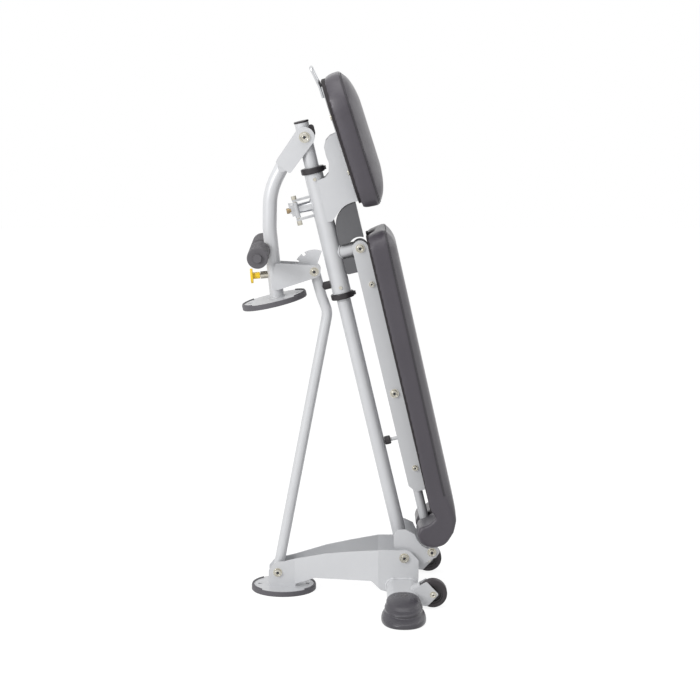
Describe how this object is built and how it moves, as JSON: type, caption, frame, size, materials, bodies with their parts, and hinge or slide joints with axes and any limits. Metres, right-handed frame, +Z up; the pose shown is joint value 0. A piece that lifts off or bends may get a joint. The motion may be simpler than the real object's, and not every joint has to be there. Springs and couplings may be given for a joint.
{
  "type": "folding weight bench",
  "caption": "Folding weight bench stored upright: padded seat and back on a sliding frame, folding leg with foot rollers, and a wide footed base with tilt-to-roll wheels.",
  "frame": {"origin": "on the floor, under the middle of the stored bench's outline", "axes": "+Z up; +X to the side the pads face; +Y across the bench, from the near boot to the far boot"},
  "size_m": [0.5771, 0.7994, 1.4363],
  "materials": {
    "frame_paint": "satin light silver grey powder coat",
    "zinc_steel": "zinc plated",
    "bright_steel": "bright plated",
    "rubber": "matte charcoal",
    "tyre_rubber": "satin black",
    "black_plastic": "satin brown black",
    "vinyl": "grained charcoal vinyl over foam",
    "board": "plywood wrapped in dark backing cloth",
    "yellow_plastic": "bright yellow"
  },
  "bodies": {
    "base": {"base_side_near": "frame_paint", "base_side_far": "frame_paint", "base_cross_tube": "frame_paint", "base_boots": "rubber", "base_foot_plate": "frame_paint", "base_foot_rubber": "rubber", "wheel_forks": "frame_paint", "wheel_axles": "zinc_steel", "spine_pivot_bolt": "zinc_steel", "toe_pivot_bolt": "zinc_steel"},
    "wheel_near": {"wheel_hub_near": "black_plastic", "wheel_tyre_near": "tyre_rubber"},
    "wheel_far": {"wheel_hub_far": "black_plastic", "wheel_tyre_far": "tyre_rubber"},
    "spine": {"spine_tube": "frame_paint", "spine_foot_bracket": "frame_paint", "spine_end_cap": "black_plastic", "spine_stop_button": "black_plastic", "prop_low_bolt": "zinc_steel"},
    "prop": {"prop_tube": "frame_paint", "prop_bumper": "rubber"},
    "backrest": {"back_channel": "frame_paint", "back_board": "board", "back_pad": "vinyl", "prop_top_bolt": "zinc_steel", "back_channel_bolts": "zinc_steel", "back_hinge_bolt": "zinc_steel"},
    "carriage": {"slide_sleeve": "frame_paint", "slide_collars": "black_plastic", "slide_screws": "zinc_steel", "hinge_arm": "frame_paint", "hinge_guard": "black_plastic", "seat_cheeks": "frame_paint", "seat_board": "board", "seat_pad": "vinyl", "seat_bars": "bright_steel", "seat_handle": "bright_steel", "seat_bolts": "zinc_steel", "latch_barrel": "frame_paint", "latch_pivot_bolt": "zinc_steel"},
    "latch_lever": {"latch_lever": "bright_steel"},
    "latch_pin": {"latch_pin": "zinc_steel"},
    "link": {"link_tube": "frame_paint", "lock_sector": "frame_paint", "link_bumper": "rubber"},
    "leg": {"leg_tube": "frame_paint", "leg_head_cheeks": "frame_paint", "leg_head_bolts": "zinc_steel", "leg_arms": "frame_paint", "knee_bolt": "zinc_steel", "leg_foot_plate": "frame_paint", "leg_foot_rubber": "rubber", "roller_bar": "frame_paint", "roller_bar_caps": "black_plastic", "plunger_barrel": "zinc_steel"},
    "plunger": {"plunger_pin": "zinc_steel", "plunger_knob": "yellow_plastic"},
    "roller_near": {"foot_roller_near": "rubber"},
    "roller_far": {"foot_roller_far": "rubber"}
  },
  "joints": [
    {"name": "fold", "type": "hinge", "parent": "base", "child": "spine", "pos_m": [0.14521, 0, 0.11], "axis": [0, -1, 0], "range_deg": [0, 61.44]},
    {"name": "link_fold", "type": "hinge", "parent": "base", "child": "link", "pos_m": [-0.20179, 0, 0.054], "axis": [0, -1, 0], "range_deg": [0, 96.49]},
    {"name": "leg_fold", "type": "hinge", "parent": "link", "child": "leg", "pos_m": [-0.09893, 0, 0.88852], "axis": [0, 1, 0], "range_deg": [0, 109.79]},
    {"name": "back_raise", "type": "hinge", "parent": "spine", "child": "prop", "pos_m": [0.22083, 0, 0.12048], "axis": [0, 1, 0], "range_deg": [0, 22]},
    {"name": "prop_pivot", "type": "hinge", "parent": "prop", "child": "backrest", "pos_m": [0.118, 0, 0.55549], "axis": [0, -1, 0], "range_deg": [0, 46.28]},
    {"name": "back_hinge", "type": "hinge", "parent": "backrest", "child": "carriage", "pos_m": [0.02441, 0, 0.95138], "axis": [0, 1, 0], "range_deg": [0, 24.28]},
    {"name": "wheel_near_spin", "type": "hinge", "parent": "base", "child": "wheel_near", "pos_m": [0.21971, -0.182, 0.04], "axis": [0, 1, 0], "continuous": true},
    {"name": "wheel_far_spin", "type": "hinge", "parent": "base", "child": "wheel_far", "pos_m": [0.21971, 0.182, 0.04], "axis": [0, 1, 0], "continuous": true},
    {"name": "roller_near_spin", "type": "hinge", "parent": "leg", "child": "roller_near", "pos_m": [-0.24538, -0.099, 0.94247], "axis": [0, 1, 0], "continuous": true},
    {"name": "roller_far_spin", "type": "hinge", "parent": "leg", "child": "roller_far", "pos_m": [-0.24538, 0.099, 0.94247], "axis": [0, 1, 0], "continuous": true},
    {"name": "plunger_pull", "type": "slide", "parent": "leg", "child": "plunger", "axis": [-0.9959, 0, -0.0906], "range_m": [0, 0.012], "stiffness_N_per_m": 900, "springref_m": -0.012},
    {"name": "latch_squeeze", "type": "hinge", "parent": "carriage", "child": "latch_lever", "pos_m": [-0.14585, -0.022, 1.05437], "axis": [-0.23, 0, 0.9732], "range_deg": [0, 14], "stiffness_Nm_per_rad": 3, "springref_deg": -20.05},
    {"name": "latch_draw", "type": "slide", "parent": "carriage", "child": "latch_pin", "axis": [-0.9732, 0, -0.23], "range_m": [0, 0.0088]}
  ],
  "couplings": [
    {"joint": "link_fold", "follows": "fold", "ratio": 1.5705},
    {"joint": "leg_fold", "follows": "fold", "ratio": 1.787},
    {"joint": "prop_pivot", "follows": "back_raise", "ratio": 2.1032},
    {"joint": "back_hinge", "follows": "back_raise", "ratio": 1.1032},
    {"joint": "latch_draw", "follows": "latch_squeeze", "m_per_rad": 0.036}
  ]
}
